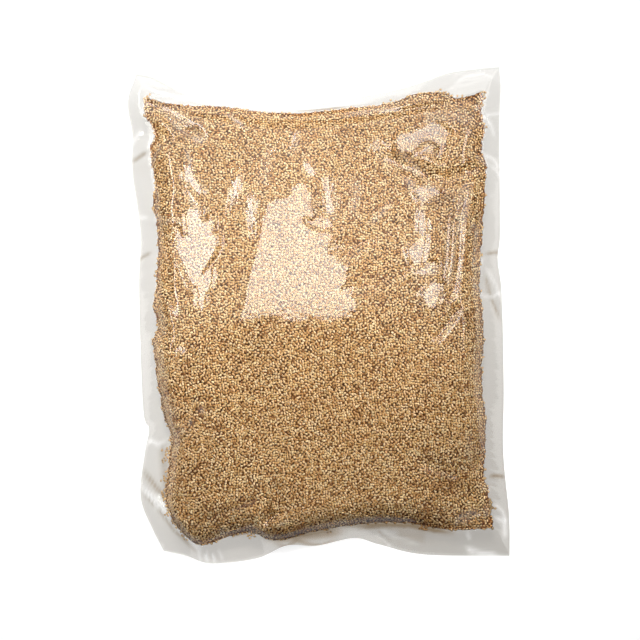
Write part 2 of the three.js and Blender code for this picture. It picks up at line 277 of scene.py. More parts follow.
HOLLOW_AT, HOLLOW_RADIUS, HOLLOW_DEPTH = (124, -154), 44, 7.5  # the slack bottom right corner


def smooth_side(points):
    """A smooth curve through the points, as a function of the share of its length."""
    p = np.array(points, float)
    before = np.vstack([p[:1], p[:-2]])
    after = np.vstack([p[2:], p[-1:]])
    t = np.linspace(0, 1, 40, endpoint=False)[:, None]
    pieces = []
    for p0, p1, p2, p3 in zip(before, p[:-1], p[1:], after):
        v0, v1 = (p2 - p0) / 2, (p3 - p1) / 2
        cubed, squared = 2 * p1 - 2 * p2 + v0 + v1, 3 * p2 - 3 * p1 - 2 * v0 - v1
        pieces.append(cubed * t**3 + squared * t**2 + v0 * t + p1)
    line = np.vstack(pieces + [p[-1:]])
    run = np.concatenate([[0], np.cumsum(np.hypot(*np.diff(line, axis=0).T))])
    return lambda s: np.stack([np.interp(s, run / run[-1], line[:, k]) for k in (0, 1)], axis=-1)


def four_sides(shape):
    """An outline's sides, each running left to right or bottom to top."""
    top_left, top_right, bottom_right, bottom_left = shape["corners"]
    return {
        "top": smooth_side([top_left, *shape["top"], top_right]),
        "bottom": smooth_side([bottom_left, *shape["bottom"], bottom_right]),
        "left": smooth_side([bottom_left, *shape["left"], top_left]),
        "right": smooth_side([bottom_right, *shape["right"], top_right]),
    }


def ragged(plan, u, v):
    """The plan with small lobes where seeds press out into the seam, dying away inside it."""
    x, y = plan[..., 0], plan[..., 1]

    def lobes(along):
        return sum(np.sin(math.tau * along / wave + 2 * wave) for wave in LOBE_LENGTHS)

    side = np.sign(u - 0.5) * np.exp(-np.minimum(u, 1 - u) * 2 * HALF_WIDTH / LOBE_REACH)
    end = np.sign(v - 0.5) * np.exp(-np.minimum(v, 1 - v) * 2 * HALF_LENGTH / LOBE_REACH)
    return plan + LOBE_HEIGHT * np.stack([side * lobes(y), end * lobes(x) * 0.5], axis=-1)


def spanned(sides, u, v):
    """The points of a patch spanned by four sides: u runs left to right, v bottom to top."""
    a, b = u[..., None], v[..., None]
    across = sides["left"](v) * (1 - a) + sides["right"](v) * a
    upward = sides["bottom"](u) * (1 - b) + sides["top"](u) * b
    low = sides["bottom"](0 * u) * (1 - a) + sides["bottom"](0 * u + 1) * a
    high = sides["top"](0 * u) * (1 - a) + sides["top"](0 * u + 1) * a
    return across + upward - (low * (1 - b) + high * b)


film_sides = four_sides(FILM)
fill_sides = four_sides(FILL)
# The table's origin is under the middle of the whole pouch.
around = np.linspace(0, 1, 2000)
rim_points = np.vstack([film_sides[name](around) for name in film_sides])
CENTRE = (rim_points.min(axis=0) + rim_points.max(axis=0)) / 2


def fold_height(x, y, path, depth, width):
    """A soft ridge or groove along a bent line, fading at both ends."""
    nearest = np.full(x.shape, np.inf)
    along = np.zeros(x.shape)
    for k, ((ax, ay), (bx, by)) in enumerate(zip(path, path[1:])):
        dx, dy = bx - ax, by - ay
        t = np.clip(((x - ax) * dx + (y - ay) * dy) / (dx * dx + dy * dy), 0, 1)
        away = np.hypot(x - ax - t * dx, y - ay - t * dy)
        closer = away < nearest
        nearest = np.where(closer, away, nearest)
        along = np.where(closer, (k + t) / (len(path) - 1), along)
    fade = np.clip(np.minimum(5 * along + 0.2, 5 * (1 - along) + 0.2), 0, 1)
    return depth * fade * np.exp(-((nearest / width) ** 2))


def shoulder(t):
    """A slope from 0 at the seam to 1 at the level part: it turns quickly at the top and is rounded below."""
    down = 1 - np.clip(t, 0, 1)
    whole = math.hypot(1, SHOULDER_CREASE) - SHOULDER_CREASE
    plane = (np.hypot(down, SHOULDER_CREASE) - SHOULDER_CREASE) / whole
    return 1 - SHOULDER_PLANE * plane - (1 - SHOULDER_PLANE) * down**4


def heel(t):
    """The back's rounded edge, from 0 at the seam to 1 at the level part."""
    return (1 - (1 - np.clip(t, 0, 1)) ** HEEL_POWER) ** (1 / HEEL_POWER)


def risen(u, v, profile, width):
    """How far a sheet has left the seam: its edge's profile over all four sides, so corners stay low."""
    rise = 1.0
    wide, long = 2 * HALF_WIDTH, 2 * HALF_LENGTH
    for distance in (u * wide, (1 - u) * wide, v * long, (1 - v) * long):
        rise = rise * profile(distance / width)
    return rise


def seam_height(y):
    return SEAM_HEIGHT + SEAM_RISE * y / HALF_LENGTH


def beyond(x, y, outline):
    """The distance outside a closed outline, and 0 within it."""
    nearest = np.full(x.shape, np.inf)
    within = np.zeros(x.shape, bool)
    for (ax, ay), (bx, by) in zip(outline, outline[1:] + outline[:1]):
        dx, dy = bx - ax, by - ay
        t = np.clip(((x - ax) * dx + (y - ay) * dy) / (dx * dx + dy * dy), 0, 1)
        nearest = np.minimum(nearest, np.hypot(x - ax - t * dx, y - ay - t * dy))
        if dy:
            within ^= ((ay > y) != (by > y)) & (x < ax + (y - ay) * dx / dy)
    return np.where(within, 0, nearest)


def front_height(x, y, u, v):
    """The front of the filling: its panel and the falls round it, its facets and its folds."""
    from_ridge = y - RIDGE_AT
    above = (from_ridge + np.hypot(from_ridge, RIDGE_ROUND)) / 2
    away = np.hypot(beyond(x, y, PANEL), 1.0) - 1.0
    height = RIDGE_HEIGHT - UPPER_LEAN * above - LOWER_LEAN * (above - from_ridge)
    height = height - FALL_LEAN * FALL_REACH * (1 - np.exp(-away / FALL_REACH))
    for outline, (slope_x, slope_y) in FACETS:
        away = beyond(x, y, outline)
        reach = min(4.0, 0.3 * np.ptp(outline, axis=0).min())
        share = np.clip(1 - away / reach, 0, 1)
        inside = away == 0
        if inside.any():
            flat = height[inside].mean() + slope_x * (x - x[inside].mean()) + slope_y * (y - y[inside].mean())
            height = height + share * share * (3 - 2 * share) * (flat - height)
    for path, depth, width in FOLDS:
        height = height + fold_height(x, y, path, depth, width)
    slack = np.hypot(x - HOLLOW_AT[0], y - HOLLOW_AT[1]) / HOLLOW_RADIUS
    height = height - HOLLOW_DEPTH * np.exp(-slack * slack)
    seam = seam_height(y)
    return seam + risen(u, v, shoulder, SHOULDER) * (height - seam)


def back_height(y, u, v):
    """The back: level, rounded up to the seam at its edge."""
    return seam_height(y) * (1 - risen(u, v, heel, HEEL))


def grid_faces(rows, columns, start=0, flipped=False):
    """The four-cornered faces of a grid of corners numbered row by row."""
    at = start + np.arange(rows * columns).reshape(rows, columns)
    ring = [at[:-1, :-1], at[:-1, 1:], at[1:, 1:], at[1:, :-1]]
    if flipped:
        ring.reverse()
    return np.stack(ring, axis=-1).reshape(-1, 4).tolist()


def graded_shares(length, step):
    """Shares of a side for grid lines: close together beside the seam, then step apart."""
    edge = np.array([0, 0.35, 1.0, 2.0, 3.3, 5.0, 7.0])
    count = max(2, round((length - 2 * edge[-1]) / step))
    even = np.linspace(edge[-1], length - edge[-1], count + 1)[1:-1]
    return np.concatenate([edge, even, (length - edge)[::-1]]) / length


SEED_LAYER = 0.8  # from the film down to the middle of the outermost seeds
CORE_GAP = 1.1  # from there down to the seeds beneath, which only show in the gaps


def filling_surface(step, inset):
    """The filling as one closed skin, set in by inset along its normals, less where it is thin."""
    u, v = np.meshgrid(graded_shares(2 * HALF_WIDTH, step), graded_shares(2 * HALF_LENGTH, step))
    plan = ragged(spanned(fill_sides, u, v), u, v)
    x, y = plan[..., 0], plan[..., 1]
    rows, columns = u.shape
    front, back = front_height(x, y, u, v), back_height(y, u, v)
    corners = np.concatenate([np.stack([x, y, z], axis=-1).reshape(-1, 3) for z in (front, back)])
    inset = np.tile(np.minimum(inset, (front - back).ravel() * 0.22), 2)
    count = rows * columns
    faces = grid_faces(rows, columns) + grid_faces(rows, columns, count, flipped=True)
    # The back's edge is the front's edge: both use the front's corners there.
    on_edge = np.zeros((rows, columns), bool)
    on_edge[[0, -1], :] = on_edge[:, [0, -1]] = True
    renumbered = np.arange(2 * count)
    renumbered[count:][on_edge.ravel()] = np.flatnonzero(on_edge.ravel())
    kept, compact = np.unique(renumbered, return_inverse=True)
    faces = compact[np.array(faces)]
    corners, inset = corners[kept], inset[kept, None]
    sides = corners[faces]
    face_normals = np.cross(sides[:, 2] - sides[:, 0], sides[:, 3] - sides[:, 1])
    normals = np.zeros_like(corners)
    for k in range(4):
        np.add.at(normals, faces[:, k], face_normals)
    normals /= np.linalg.norm(normals, axis=1, keepdims=True)
    return corners - inset * normals - np.array([*CENTRE, 0]), faces


# The core is dark brown with seed-sized cells: painted shade, for the seeds beneath seen in the gaps.
core_dark, tree, output = new_material("seeds_in_shade")
place = add_node(tree, "ShaderNodeTexCoord")
seed_cells = add_node(tree, "ShaderNodeTexVoronoi", {"Vector": place.outputs["Object"], "Scale": 480.0})
shade = add_node(tree, "ShaderNodeValToRGB", {"Fac": seed_cells.outputs["Distance"]})
shade.color_ramp.elements[0].color = srgb(132, 82, 42)
shade.color_ramp.elements[1].color = srgb(62, 38, 19)
tree.links.new(add_node(tree, "ShaderNodeBsdfPrincipled", {
    "Base Color": shade.outputs["Color"], "Roughness": 0.75, "Specular IOR Level": 0.2,
}).outputs["BSDF"], output.inputs["Surface"])

core_corners, core_faces = filling_surface(step=2.2, inset=SEED_LAYER + CORE_GAP)
core = mesh_object("seed_core", core_corners, core_faces, core_dark)
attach(core, "root")

# ---- The seeds on the outside of the brick ----
# A sesame seed is a flat drop, 2.8 mm long, with one pointed end. They lie flat against the film, turned
# every way, and were toasted unevenly: each colour from cream to dark brown is a piece of its own.
SEED_LENGTH, SEED_WIDTH, SEED_THICKNESS = 2.8, 2.0, 0.9
SEED_SPACING = 1.95
LAYER_DROP = 0.8  # how much deeper the second layer lies, which is seen between the first
SECOND_SPACING = 1.12  # the second layer's spacing, as a share of the first's
MOTTLE = 0.7  # how far a hull's mottle shifts its colour between dark and pale
RIM_TOAST_AND_SHADE = 0.52  # its rim's colour, as a share of its darker colour: a browner toasted edge, and painted shade where seeds meet
SEED_KINDS = [  # name, share of the seeds, paler and darker colour
    ("cream", 0.19, (245, 216, 170), (236, 201, 150)),
    ("straw", 0.19, (240, 206, 154), (230, 188, 132)),
    ("honey", 0.19, (233, 193, 138), (221, 174, 116)),
    ("golden", 0.19, (224, 179, 120), (211, 160, 99)),
    ("toasted", 0.19, (213, 162, 102), (196, 141, 82)),
    ("brown", 0.05, (184, 126, 72), (140, 90, 48)),
]


def seed_mesh():
    """One seed with few sides: two five-sided rings between a pointed and a round end."""
    section = [(1, 0), (0.5, 0.85), (-0.5, 0.85), (-1, 0), (0, -1)]  # its flatter side is up
    corners = [(-SEED_LENGTH / 2, 0, 0)]
    for along, girth in ((-0.22, 0.70), (0.26, 0.98)):
        half_width, half_thickness = girth * SEED_WIDTH / 2, girth * SEED_THICKNESS / 2
        corners += [(along * SEED_LENGTH, across * half_width, up * half_thickness) for across, up in section]
    corners.append((SEED_LENGTH / 2, 0, 0))
    faces = []
    for k in range(5):
        n = (k + 1) % 5
        faces += [(0, 1 + n, 1 + k), (1 + k, 1 + n, 6 + n), (1 + k, 6 + n, 6 + k), (6 + k, 6 + n, 11)]
    seed = mesh_object("seed_shape", corners, faces)
    # Its outline, tips and underside are rim: browner as a toasted edge, and painted shade where seeds meet.
    rim = seed.data.attributes.new("rim", "FLOAT", "POINT")
    rim.data.foreach_set("value", [1.0] + 2 * [1.0, 0.0, 0.0, 1.0, 1.0] + [1.0])
    chart = seed.data.uv_layers.new(name="OFBake")
    margin = 0.1
    for loop in seed.data.loops:
        x, y, _ = corners[loop.vertex_index]
        chart.data[loop.index].uv = (margin + (1 - 2 * margin) * (x / SEED_LENGTH + 0.5),
                                     margin + (1 - 2 * margin) * (y / SEED_WIDTH + 0.5))
    return seed


def seed_material(name, pale, dark):
    """A satin hull, its colour between pale and dark from seed to seed, mottled, browner round its rim: a
    toasted edge, and painted shade where seeds meet.
    """
    material, tree, output = new_material(f"{name}_hull")
    tone = add_node(tree, "ShaderNodeAttribute", attribute_name="tone")
    place = add_node(tree, "ShaderNodeTexCoord")
    mottle = add_node(tree, "ShaderNodeTexNoise", {
        "Vector": place.outputs["Object"], "Scale": 900.0, "Detail": 2.0,
    })
    # The mottle's mean is a half, so that what is added to the tone is taken off again on average.
    added = arithmetic(tree, "MULTIPLY", mottle.outputs["Fac"], MOTTLE)
    blend = arithmetic(tree, "ADD", tone.outputs["Fac"], added)
    shift = arithmetic(tree, "SUBTRACT", blend, MOTTLE / 2, use_clamp=True)
    colour = add_node(tree, "ShaderNodeMix", {
        "Factor": shift, "A": srgb(*dark), "B": srgb(*pale),
    }, data_type="RGBA")
    rim = add_node(tree, "ShaderNodeAttribute", attribute_name="rim")
    toasted_and_shaded_rim = srgb(*(RIM_TOAST_AND_SHADE * c for c in dark))
    rim_toasted_and_shaded = add_node(tree, "ShaderNodeMix", {
        "Factor": rim.outputs["Fac"], "A": colour.outputs["Result"], "B": toasted_and_shaded_rim,
    }, data_type="RGBA")
    tree.links.new(add_node(tree, "ShaderNodeBsdfPrincipled", {
        "Base Color": rim_toasted_and_shaded.outputs["Result"], "Roughness": 0.55, "Specular IOR Level": 0.25,
    }).outputs["BSDF"], output.inputs["Surface"])
    return material


RANDOM_SOCKETS = {"FLOAT": (2, 3, 1), "INT": (4, 5, 2), "FLOAT_VECTOR": (0, 1, 0)}


def random_field(tree, kind, low, high, seed):
    """A random value for each point between low and high, from a fixed seed."""
    low_at, high_at, out_at = RANDOM_SOCKETS[kind]
    node = add_node(tree, "FunctionNodeRandomValue", {low_at: low, high_at: high, 8: seed}, data_type=kind)
    return node.outputs[out_at]


def scatter_tree():
    """Seeds spread over a surface, and only those whose lot falls between two shares are kept."""
    tree = bpy.data.node_groups.new("spread_seeds", "GeometryNodeTree")
    socket = tree.interface.new_socket
    socket("Geometry", in_out="OUTPUT", socket_type="NodeSocketGeometry")
    socket("Geometry", in_out="INPUT", socket_type="NodeSocketGeometry")
    for name in ("Spacing", "Drop", "From Share", "To Share", "Lean", "Sink"):
        socket(name, in_out="INPUT", socket_type="NodeSocketFloat")
    for name in ("Random Seed", "Chart Side"):
        socket(name, in_out="INPUT", socket_type="NodeSocketInt")
    socket("Seed", in_out="INPUT", socket_type="NodeSocketObject")
    socket("Material", in_out="INPUT", socket_type="NodeSocketMaterial")
    given = add_node(tree, "NodeGroupInput").outputs

    layers = add_node(tree, "GeometryNodeJoinGeometry")
    coverage = add_node(tree, "GeometryNodeInputNamedAttribute", {"Name": "coverage"}).outputs["Attribute"]
    leaning = add_node(tree, "ShaderNodeCombineXYZ", {"X": given["Lean"], "Y": given["Lean"], "Z": math.pi})
    other_way = add_node(tree, "ShaderNodeVectorMath", {
        0: leaning.outputs[0], "Scale": -1.0,
    }, operation="SCALE")
    shape = add_node(tree, "GeometryNodeObjectInfo", {"Object": given["Seed"]})
    for layer in (0, 1):
        seed = add_node(tree, "FunctionNodeIntegerMath", {0: given["Random Seed"], 1: layer}, operation="ADD")
        apart = arithmetic(tree, "MULTIPLY", given["Spacing"], SECOND_SPACING**layer)
        spread = add_node(tree, "GeometryNodeDistributePointsOnFaces", {
            "Mesh": given["Geometry"], "Distance Min": apart, "Density Max": 3.0e6,
            "Density Factor": coverage, "Seed": seed.outputs[0],
        }, distribute_method="POISSON")
        drop = arithmetic(tree, "MULTIPLY", given["Drop"], -layer)
        offset = add_node(tree, "ShaderNodeVectorMath", {
            0: spread.outputs["Normal"], "Scale": drop,
        }, operation="SCALE")
        lowered = add_node(tree, "GeometryNodeSetPosition", {
            "Geometry": spread.outputs["Points"], "Offset": offset.outputs[0],
        })
        lot = random_field(tree, "FLOAT", 0.0, 1.0, 11 + layer)
        below, above = (
            add_node(tree, "FunctionNodeCompare", {0: lot, 1: given[limit]}, operation=operation).outputs[0]
            for limit, operation in (("From Share", "LESS_THAN"), ("To Share", "GREATER_EQUAL"))
        )
        other = add_node(tree, "FunctionNodeBooleanMath", {0: below, 1: above}, operation="OR")
        kept = add_node(tree, "GeometryNodeDeleteGeometry", {
            "Geometry": lowered.outputs["Geometry"], "Selection": other.outputs[0],
        }, domain="POINT")
        turn = add_node(tree, "FunctionNodeEulerToRotation", {
            "Euler": random_field(tree, "FLOAT_VECTOR", other_way.outputs[0], leaning.outputs[0], 23 + layer),
        })
        rotation = add_node(tree, "FunctionNodeRotateRotation", {
            "Rotation": spread.outputs["Rotation"], "Rotate By": turn.outputs["Rotation"],
        }, rotation_space="LOCAL")
        placed = add_node(tree, "GeometryNodeInstanceOnPoints", {
            "Points": kept.outputs["Geometry"], "Instance": shape.outputs["Geometry"],
            "Rotation": rotation.outputs["Rotation"],
            "Scale": random_field(tree, "FLOAT_VECTOR", (0.84, 0.82, 0.85), (1.1, 1.08, 1.1), 37 + layer),
        })
        tree.links.new(placed.outputs["Instances"], layers.inputs["Geometry"])
    sinking = arithmetic(tree, "MULTIPLY", random_field(tree, "FLOAT", -1.0, 0.25, 41), given["Sink"])
    depth = add_node(tree, "ShaderNodeCombineXYZ", {"Z": sinking})
    sunk = add_node(tree, "GeometryNodeTranslateInstances", {
        "Instances": layers.outputs["Geometry"], "Translation": depth.outputs[0],
    })
    toned = add_node(tree, "GeometryNodeStoreNamedAttribute", {
        "Geometry": sunk.outputs["Instances"], "Name": "tone",
        "Value": random_field(tree, "FLOAT", 0.0, 1.0, 53),
    }, data_type="FLOAT", domain="INSTANCE")
    numbered = add_node(tree, "GeometryNodeStoreNamedAttribute", {
        "Geometry": toned.outputs["Geometry"], "Name": "number",
        "Value": add_node(tree, "GeometryNodeInputIndex").outputs[0],
    }, data_type="INT", domain="INSTANCE")
    real = add_node(tree, "GeometryNodeRealizeInstances", {"Geometry": numbered.outputs["Geometry"]})

    # Each seed gets its own square of a chart, so that a picture of the colours has room for every one.
    number, own = (
        add_node(tree, "GeometryNodeInputNamedAttribute", {"Name": name}, data_type=kind).outputs["Attribute"]
        for name, kind in (("number", "INT"), ("OFBake", "FLOAT_VECTOR"))
    )
    chart_side = given["Chart Side"]
    column = arithmetic(tree, "MODULO", number, chart_side)
    row = arithmetic(tree, "FLOOR", arithmetic(tree, "DIVIDE", number, chart_side))
    square = add_node(tree, "ShaderNodeCombineXYZ", {"X": column, "Y": row})
    summed = add_node(tree, "ShaderNodeVectorMath", {0: square.outputs[0], 1: own})
    scaled = add_node(tree, "ShaderNodeVectorMath", {
        0: summed.outputs[0], "Scale": arithmetic(tree, "DIVIDE", 1.0, chart_side),
    }, operation="SCALE")
    charted = add_node(tree, "GeometryNodeStoreNamedAttribute", {
        "Geometry": real.outputs["Geometry"], "Name": "OFBake", "Value": scaled.outputs[0],
    }, data_type="FLOAT2", domain="CORNER")
    smooth = add_node(tree, "GeometryNodeSetShadeSmooth", {"Geometry": charted.outputs["Geometry"]})
    finished = add_node(tree, "GeometryNodeSetMaterial", {
        "Geometry": smooth.outputs["Geometry"], "Material": given["Material"],
    })
    add_node(tree, "NodeGroupOutput", {"Geometry": finished.outputs["Geometry"]})
    return tree


def applied(carrier, name, tree, values):
    """The result of a node tree on a carrier, as a plain mesh object of its own."""
    modifier = carrier.modifiers.new("spread", "NODES")
    modifier.node_group = tree
    for item in tree.interface.items_tree:
        if item.name in values:
            modifier[item.identifier] = values[item.name]
    evaluated = carrier.evaluated_get(bpy.context.evaluated_depsgraph_get())
    mesh = bpy.data.meshes.new_from_object(evaluated, preserve_all_data_layers=True,
                                           depsgraph=bpy.context.evaluated_depsgraph_get())
    carrier.modifiers.remove(modifier)
    mesh.name = name
    made = bpy.data.objects.new(name, mesh)
    bpy.context.collection.objects.link(made)
    return made


BACK_COVERAGE = 0.3  # the back shows fewer whole seeds between those pressed flat
BACK_LEVEL = 3.0  # below this height the filling is its back

carrier_corners, carrier_faces = filling_surface(step=2.0, inset=SEED_LAYER)
carrier = mesh_object("seed_bed", carrier_corners, carrier_faces)
coverage = carrier.data.attributes.new("coverage", "FLOAT", "POINT")
covered = np.where(carrier_corners[:, 2] < BACK_LEVEL, BACK_COVERAGE, 1.0)
coverage.data.foreach_set("value", covered.astype(np.float32))
one_seed = seed_mesh()
spread_seeds = scatter_tree()
share = 0.0
for kind, portion, pale, dark in SEED_KINDS:
    seeds = applied(carrier, f"{kind}_seeds", spread_seeds, {
        "Spacing": SEED_SPACING * MM, "From Share": share, "To Share": share + portion, "Lean": 0.2,
        "Drop": LAYER_DROP * MM, "Sink": 0.3 * MM, "Random Seed": 5, "Chart Side": 100, "Seed": one_seed,
        "Material": seed_material(kind, pale, dark),
    })
    share += portion
    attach(seeds, "root")
bpy.data.objects.remove(carrier)

# ---- The film: two clear sheets, sealed all round ----
# Thin glossy plastic, shrunk so tight that it takes the seeds' grain. It is a closed skin round the filling.
# Beyond the seam its two sheets are heat-sealed together, as a thin, wavy and slightly grey margin; painted
# shade makes it greyer towards the bottom right.
SHEET_GAP = 0.5  # between the two sheets of the margin
SEAM_GAP = 1.9  # and right beside the seeds
RIM_HEIGHT = {"top": (13, 12), "bottom": (5, 2)}  # the margin's corners, left and right
RIM_SAG = 5
RIM_LOWEST = 0.8
MARGIN_GREY_AND_SHADE = {"top": (0.45, 0.49), "bottom": (0.66, 1.08)}  # how grey the margin is, at its corners: the seal's own grey, and painted shade, darker towards the bottom right
RIPPLE_HEIGHT = 0.35
RIPPLE_LENGTHS = (71, 43)
CREASES = [  # the bent line of each crease in the margin, its height and its width
    ([(-144, -138), (-120, -161), (-111, -170), (-92, -192)], 2.2, 1.8),
    ([(-140, -128), (-118, -155), (-108, -168)], -1.0, 2.0),
    ([(137, 158), (151, 161)], 1.0, 1.4),
    ([(137, 157), (141, 152), (145, 140)], 1.0, 1.4),
    ([(137, 126), (143, 122), (149, 115)], 1.1, 1.4),
    ([(140, 118), (147, 112), (151, 103)], 1.0, 1.4),
    ([(136, 45), (144, 47), (152, 48)], -1.0, 1.6),
    ([(136, 34), (144, 21), (152, 4)], 1.1, 1.5),
    ([(136, 28), (139, 14), (148, -8)], -0.8, 1.6),
    ([(136, 11), (142, 10), (148, 15)], 1.1, 1.5),
    ([(-153, 131), (-143, 146)], 1.3, 2.0),
    ([(-150, 121), (-138, 128)], -0.9, 1.8),
    ([(-151, 78), (-136, 74)], 1.0, 1.6),
    ([(-148, 40), (-134, 46)], -0.7, 1.8),
    ([(-136, -105), (-126, -108), (-121, -106)], 1.0, 1.5),
    ([(-142, 181), (-124, 177), (-104, 173), (-87, 171)], 0.8, 1.4),
    ([(107, 180), (119, 190), (134, 194), (150, 186)], 0.5, 1.3),
    ([(107, 180), (119, 183), (129, 185)], 0.5, 1.2),
    ([(-125, -147), (-128, -161)], 0.9, 1.5),
    ([(47, -179), (54, -184), (60, -191)], 1.0, 1.5),
    ([(119, -192), (126, -196), (152, -197)], 1.1, 1.5),
    ([(140, -155), (148, -162), (151, -171)], 1.2, 1.8),
    ([(137, -134), (151, -134)], -1.0, 1.5),
    ([(-93, -191), (-93, -202)], 0.8, 1.3),
    ([(-87, -192), (-87, -203)], 0.8, 1.3),
]
PAINTED_VEILS_AND_SHADES = [  # painted reflections as pale veils and glints (above 0) and painted shade as darker lines (below 0), and the width
    ([(-128, 168), (-110, 172), (-90, 170)], 0.4, 1.6),
    ([(-50, 165), (-20, 163), (10, 166), (40, 170)], 0.5, 1.2),
    ([(-132, 170), (-118, 156), (-104, 150), (-92, 145)], 0.3, 3.2),
    ([(-118, 151), (-112, 146), (-104, 141), (-94, 135)], 0.6, 1.5),
    ([(-99, 140), (-91, 136)], 0.45, 3.5),
    ([(-74, 159), (-66, 154), (-58, 147)], 0.7, 1.3),
    ([(-68, 154), (-60, 150)], 0.5, 1.2),
    ([(-106, 131), (-102, 117), (-105, 109)], 0.5, 1.4),
    ([(-105, 107), (-100, 101), (-94, 94)], 0.35, 3),
    ([(-104, 92), (-96, 78), (-96, 70)], 0.5, 1.6),
    ([(-62, 109), (-65, 94), (-69, 78)], 0.4, 2.2),
    ([(-61, 105), (-61, 90)], 0.35, 1.3),
    ([(-53, 92), (-53, 78), (-53, 63)], 0.4, 2.4),
    ([(-38, 133), (-41, 113), (-44, 98)], 0.2, 5),
    ([(-16, 145), (-17, 135), (-21, 123)], 0.3, 3.2),
    ([(-10, 118), (-2, 106)], 0.5, 2.4),
    ([(-6, 86), (-1, 70)], -0.4, 2),
    ([(11, 102), (12, 86), (9, 66)], 0.25, 4.5),
    ([(-132, 123), (-134, 110), (-128, 90), (-129, 74)], 0.6, 1.4),
    ([(-126, 133), (-134, 118)], 0.6, 1.4),
    ([(-133, 74), (-120, 70), (-108, 69)], 0.35, 2.4),
    ([(23, 158), (47, 162), (69, 163)], 0.5, 1.4),
    ([(83, 158), (127, 154)], 0.25, 4.5),
    ([(65, 135), (77, 139), (91, 145), (103, 141)], 0.35, 5),
    ([(65, 133), (71, 123), (88, 107)], 0.4, 2.8),
    ([(80, 130), (89, 136), (99, 131)], -0.5, 2.4),
    ([(80, 123), (88, 129), (100, 123)], 0.5, 1.8),
    ([(47, 121), (63, 118), (79, 109), (99, 98)], 0.35, 1.6),
    ([(71, 105), (78, 98)], 0.45, 2.4),
    ([(99, 93), (88, 97), (79, 94), (84, 86)], 0.45, 3),
    ([(88, 84), (100, 86), (111, 94)], -0.45, 4.5),
    ([(83, 80), (83, 68), (84, 58)], 0.45, 3.2),
    ([(72, 46), (80, 40), (88, 52)], 0.45, 3.6),
    ([(76, 25), (98, 29)], 0.4, 2.4),
    ([(86, 1), (90, 13), (98, 21)], 0.35, 4.5),
    ([(43, 66), (52, 76), (60, 84)], 0.35, 2),
    ([(31, 105), (32, 90), (28, 74)], 0.3, 3.2),
    ([(119, 101), (114, 78), (110, 48), (105, 5)], 0.55, 1.5),
    ([(123, 98), (118, 70), (116, 46), (113, 24)], 0.4, 1.3),
    ([(122, 62), (126, 67), (128, 62), (126, 42), (124, 29)], 0.65, 1.3),
    ([(122, 25), (128, 16), (137, 8)], 0.5, 1.3),
    ([(108, 86), (106, 58), (100, 17), (104, -3)], -0.4, 4),
    ([(110, -3), (126, -15)], -0.35, 6),
    ([(129, 125), (137, 117)], 0.6, 1.4),
    ([(130, 29), (134, 42)], 0.6, 1.3),
    ([(-99, -170), (-76, -162), (-56, -157), (-45, -149)], -0.6, 3),
    ([(-35, -147), (-37, -157), (-33, -168), (-41, -176)], -0.55, 2.4),
    ([(-70, -179), (-56, -178), (-47, -175)], -0.9, 1.8),
    ([(-77, -176), (-73, -178)], 0.6, 2.2),
    ([(-30, -172), (-25, -172)], 0.65, 1.8),
    ([(-114, -74), (-112, -94), (-106, -98), (-114, -115)], 0.3, 2.8),
    ([(-106, -98), (-109, -110)], -0.6, 1.8),
    ([(-91, -80), (-90, -85)], 0.5, 2.2),
    ([(-101, -92), (-98, -92)], 0.5, 2.6),
    ([(91, -135), (106, -137), (121, -141), (128, -141)], -0.35, 6),
    ([(81, -153), (91, -162), (106, -165)], -0.25, 6),
    ([(91, -136), (95, -143)], 0.25, 1.6),
    ([(121, -98), (120, -114), (125, -131)], 0.35, 1.6),
    ([(125, -110), (126, -125)], -0.5, 2.4),
    ([(130, -103), (132, -127)], 0.4, 1.4),
    ([(109, -174), (114, -165), (128, -161)], 0.6, 1.5),
    ([(114, -172), (120, -166), (130, -162)], 0.35, 2.4),
    ([(18, -173), (34, -171), (47, -169), (62, -169), (75, -169), (89, -172), (106, -175)], -0.8, 3.5),
    ([(-43, -178), (-21, -179), (-1, -176), (18, -174)], -0.6, 3.5),
    ([(-119, -153), (-121, -129), (-124, -106)], -0.3, 3),
    ([(-24, 163), (-1, 163), (23, 165)], -0.5, 1.2),
    ([(34, -175), (48, -173), (62, -173), (76, -173), (90, -176), (108, -179)], -1, 1.8),
    ([(-39, -184), (-21, -183), (-1, -181), (22, -178)], -0.8, 3.2),
    ([(-33, -188), (-24, -190), (-16, -185), (-5, -188), (4, -189), (16, -184)], -0.5, 1.8),
    ([(48, -176), (54, -184), (58, -188)], -0.3, 2.4),
    ([(50, -176), (62, -182), (82, -188)], 0.35, 1.6),
    ([(62, -180), (88, -181)], -0.25, 6),
    ([(134, -157), (135, -165)], 0.6, 1.4),
    ([(130, -141), (134, -144)], 0.5, 1.4),
    ([(118, -190), (130, -194), (145, -196)], 0.7, 2),
    ([(142, -166), (150, -170), (150, -184)], 0.6, 2.4),
    ([(119, -178), (122, -184)], 0.5, 2),
    ([(140, -133), (148, -133)], -0.35, 1.2),
    ([(136, -143), (136, -147)], 0.7, 1.4),
    ([(-139, -146), (-127, -158), (-113, -176), (-95, -194)], -0.4, 1.8),
    ([(-137, -145), (-125, -157), (-110, -175), (-93, -191)], 0.5, 1.6),
    ([(-83, -195), (-81, -202)], 0.8, 1.2),
    ([(-88, -195), (-88, -201)], 0.6, 1.2),
    ([(-78, -192), (-75, -200)], 0.5, 1.2),
    ([(-145, -117), (-133, -105), (-125, -111)], 0.4, 2),
]
CREASE_PAINTED_LIGHT = 0.5  # how much painted light a crease gives the film for each millimetre of its height: a painted glint on a ridge, painted shade in a groove
GLOSS, GRAZING_GLOSS = 0.06, 0.08  # how much the film mirrors face on, and how much more at a grazing angle
VEIL_STRENGTH = 0.75  # how strongly a painted veil shows
VEIL_MILKINESS = 0.45  # how milky a full painted veil is over the seeds
HAZE = 0.006  # the milkiness of the film everywhere
